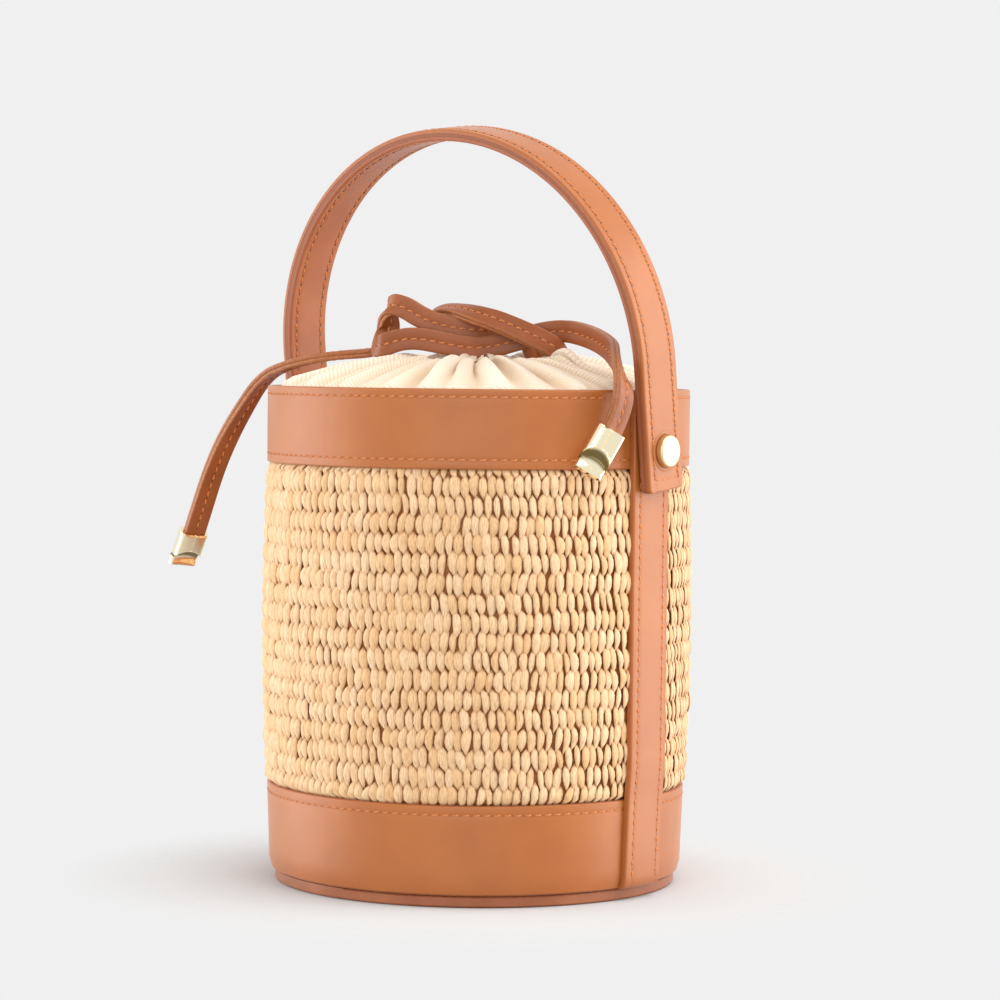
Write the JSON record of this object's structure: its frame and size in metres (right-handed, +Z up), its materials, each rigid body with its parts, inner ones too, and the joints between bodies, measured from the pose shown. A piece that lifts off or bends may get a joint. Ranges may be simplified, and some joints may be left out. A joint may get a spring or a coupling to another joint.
{
  "type": "bucket bag",
  "caption": "Round bucket bag with woven raffia walls, leather bands, a gathered cotton pouch with tied leather laces, and a strap handle that swings on brass studs.",
  "frame": {"origin": "middle of the sole's underside, on the ground", "axes": "+Z up along the drum's axis, X through the two studs, -Y the front"},
  "size_m": [0.2081, 0.1524, 0.2674],
  "materials": {
    "leather": "smooth vegetable-tanned cowhide, tan, waxed",
    "leather_back": "the same tan cowhide facing inward",
    "sole_leather": "thick tan leather with a raw edge",
    "bonded_core": "bonded leather filler, brown",
    "lace_leather": "two tan layers glued and stitched",
    "raffia": "natural raffia, woven in offset rows",
    "cotton": "cream cotton twill",
    "felt": "pressed felt stiffener",
    "fibreboard": "dense fibreboard",
    "brass": "pale polished brass"
  },
  "bodies": {
    "root": {"sole": "sole_leather", "base_board": "fibreboard", "base_lining": "cotton", "bottom_band_front": "leather", "bottom_band_back": "leather", "raffia_front": "raffia", "raffia_back": "raffia", "top_band_front": "leather", "top_band_back": "leather", "rim_facing": "leather_back", "wall_stiffener": "felt", "wall_lining": "cotton", "pouch_collar": "cotton", "channel_lace": "lace_leather", "right_strip": "leather", "left_strip": "leather", "right_stud": "brass", "left_stud": "brass", "right_stud_washer": "brass", "left_stud_washer": "brass", "right_stud_screw": "brass", "left_stud_screw": "brass", "left_lace": "lace_leather", "right_lace": "lace_leather", "left_lace_tip": "brass", "right_lace_tip": "brass"},
    "handle": {"handle_outer": "leather", "handle_core": "bonded_core", "handle_lining": "leather_back"}
  },
  "joints": [
    {"name": "handle_swing", "type": "hinge", "parent": "root", "child": "handle", "pos_m": [0, 0, 0.1541], "axis": [-1, 0, 0], "range_deg": [0, 130]}
  ]
}
